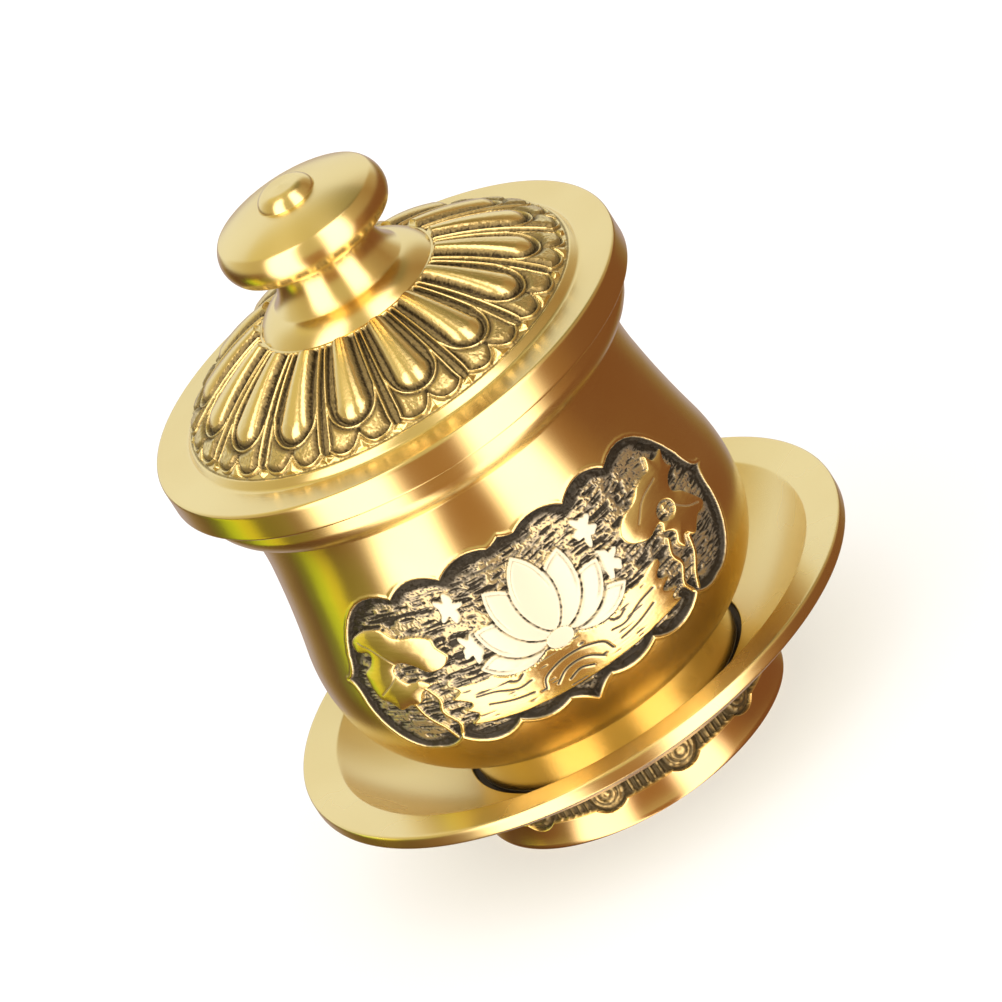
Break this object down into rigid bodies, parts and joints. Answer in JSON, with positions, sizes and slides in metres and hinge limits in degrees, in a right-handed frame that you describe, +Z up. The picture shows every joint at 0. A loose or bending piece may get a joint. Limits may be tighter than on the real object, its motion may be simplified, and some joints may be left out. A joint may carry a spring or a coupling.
{
  "type": "covered offering cup with saucer",
  "caption": "Lidded brass offering cup on a footed saucer, with a lotus-petal lid, turned knob and sunken picture panel; lid and cup lift off.",
  "frame": {"origin": "centre of the foot's resting face", "axes": "+Z up along the cup's axis, -Y towards the side with the picture panel"},
  "size_m": [0.09, 0.09, 0.1054],
  "materials": {
    "saucer_brass": "polished and lacquered",
    "foot_brass": "cast, dark recesses, polished ring",
    "cup_brass": "polished, dark ground in the sunken panel",
    "lid_brass": "cast lotus relief with dark recesses, polished flange",
    "knob_brass": "turned and polished",
    "washer_brass": "plain",
    "screw_steel": "plain machine screw"
  },
  "bodies": {
    "saucer": {"saucer_dish": "saucer_brass", "lotus_foot": "foot_brass"},
    "cup": {"cup_body": "cup_brass"},
    "lid": {"lid_shell": "lid_brass", "lid_knob": "knob_brass", "knob_washer": "washer_brass", "knob_screw": "screw_steel"}
  },
  "joints": [
    {"name": "cup_lift", "type": "slide", "parent": "saucer", "child": "cup", "axis": [0, 0, 1], "range_m": [0, 0.05]},
    {"name": "lid_lift", "type": "slide", "parent": "cup", "child": "lid", "axis": [0, 0, 1], "range_m": [0, 0.04]}
  ]
}
